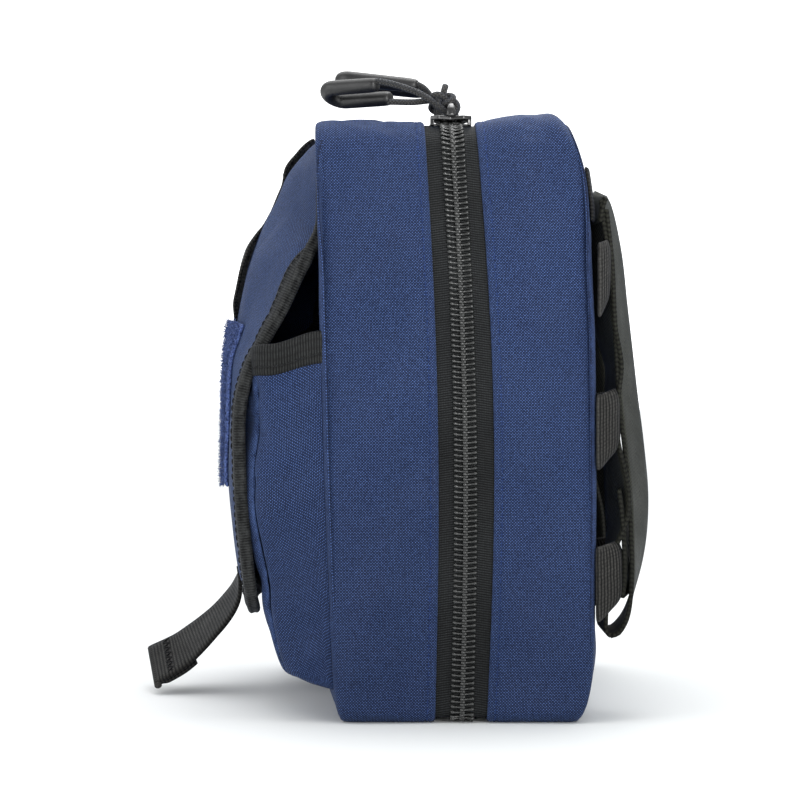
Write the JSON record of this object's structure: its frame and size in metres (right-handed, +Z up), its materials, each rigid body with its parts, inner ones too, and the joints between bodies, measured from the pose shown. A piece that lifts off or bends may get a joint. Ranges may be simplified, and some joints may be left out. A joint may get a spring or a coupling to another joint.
{
  "type": "utility pouch",
  "caption": "Padded clamshell utility pouch with a wraparound coil zip, a bellows front pocket under a flap, cord zip pulls, and webbing rows with woven-in attachment straps on the back",
  "frame": {"origin": "on the floor under the middle of the base, on the fold where the two halves meet, in the plane of the zip", "axes": "+X is across the width, towards the side where both zip sliders are parked; -Y is the front with the flap; +Z is up"},
  "size_m": [0.15, 0.1778, 0.2241],
  "materials": {
    "navy_nylon": "coarse plain-woven textured nylon, coated inside",
    "lining": "smooth fine-woven nylon",
    "black_webbing": "ribbed woven nylon webbing with a slight sheen",
    "black_binding": "cross-ribbed grosgrain",
    "zip_tape": "fine herringbone woven tape",
    "zip_coil": "dark nylon monofilament, semi-gloss",
    "slider_enamel": "gloss black enamel on die-cast metal",
    "pull_cord": "braided round cord",
    "grip_rubber": "satin moulded rubber",
    "loop_field": "brushed loop pile",
    "hook_loop": "hook and loop tape",
    "board": "closed-cell board, hidden"
  },
  "bodies": {
    "rear_half": {"rear_panel": "navy_nylon", "rear_gusset": "navy_nylon", "rear_board": "board", "rear_lining": "lining", "rear_zip_tape": "zip_tape", "rear_coil": "zip_coil", "elastic_loops": "black_webbing", "hinge_strip": "navy_nylon", "strap_anchor": "black_binding", "webbing_row_low": "black_webbing", "webbing_row_middle": "black_webbing", "webbing_row_top": "black_webbing", "strap_tuck_near": "black_webbing", "strap_tuck_far": "black_webbing"},
    "front_half": {"front_panel": "navy_nylon", "front_gusset": "navy_nylon", "front_lining": "lining", "front_zip_tape": "zip_tape", "front_coil": "zip_coil", "inner_pocket": "lining", "pocket_panel": "navy_nylon", "pocket_side_near": "navy_nylon", "pocket_side_far": "navy_nylon", "pocket_binding": "black_binding", "closure_loop": "hook_loop"},
    "flap": {"flap_panel": "navy_nylon", "flap_binding": "black_binding", "flap_webbing": "black_webbing", "flap_loop_field": "loop_field", "closure_hook": "hook_loop"},
    "tail": {"pull_tail": "black_webbing"},
    "zip_slider_near": {"slider_near": "slider_enamel"},
    "zip_slider_far": {"slider_far": "slider_enamel"},
    "pull_near": {"pull_cord_near": "pull_cord", "pull_grip_near": "grip_rubber"},
    "pull_far": {"pull_cord_far": "pull_cord", "pull_grip_far": "grip_rubber"},
    "attachment_strap_near": {"strap_near": "black_webbing"},
    "attachment_strap_far": {"strap_far": "black_webbing"}
  },
  "joints": [
    {"name": "clamshell_fold", "type": "hinge", "parent": "rear_half", "child": "front_half", "pos_m": [0, 0, 0], "axis": [1, 0, 0], "range_deg": [0, 170]},
    {"name": "flap_fold", "type": "hinge", "parent": "front_half", "child": "flap", "pos_m": [0, -0.0512, 0.2005], "axis": [-1, 0, 0], "range_deg": [0, 130]},
    {"name": "tail_fold", "type": "hinge", "parent": "flap", "child": "tail", "pos_m": [0, -0.0798, 0.044], "axis": [-1, 0, 0], "range_deg": [-15, 110]},
    {"name": "slider_near_run", "type": "slide", "parent": "rear_half", "child": "zip_slider_near", "axis": [-1, 0, 0], "range_m": [0, 0.04]},
    {"name": "slider_far_run", "type": "slide", "parent": "zip_slider_near", "child": "zip_slider_far", "axis": [-1, 0, 0], "range_m": [0, 0.04]},
    {"name": "pull_near_swing", "type": "hinge", "parent": "zip_slider_near", "child": "pull_near", "pos_m": [0.057, -0.0034, 0.2084], "axis": [-1, 0, 0], "range_deg": [-4, 136]},
    {"name": "pull_far_swing", "type": "hinge", "parent": "zip_slider_far", "child": "pull_far", "pos_m": [0.037, -0.0034, 0.2084], "axis": [-1, 0, 0], "range_deg": [-4, 136]},
    {"name": "strap_near_swing", "type": "hinge", "parent": "rear_half", "child": "attachment_strap_near", "pos_m": [0.057, 0.0466, 0.177], "axis": [1, 0, 0], "range_deg": [0, 5]},
    {"name": "strap_far_swing", "type": "hinge", "parent": "rear_half", "child": "attachment_strap_far", "pos_m": [-0.057, 0.0466, 0.177], "axis": [1, 0, 0], "range_deg": [0, 5]}
  ]
}
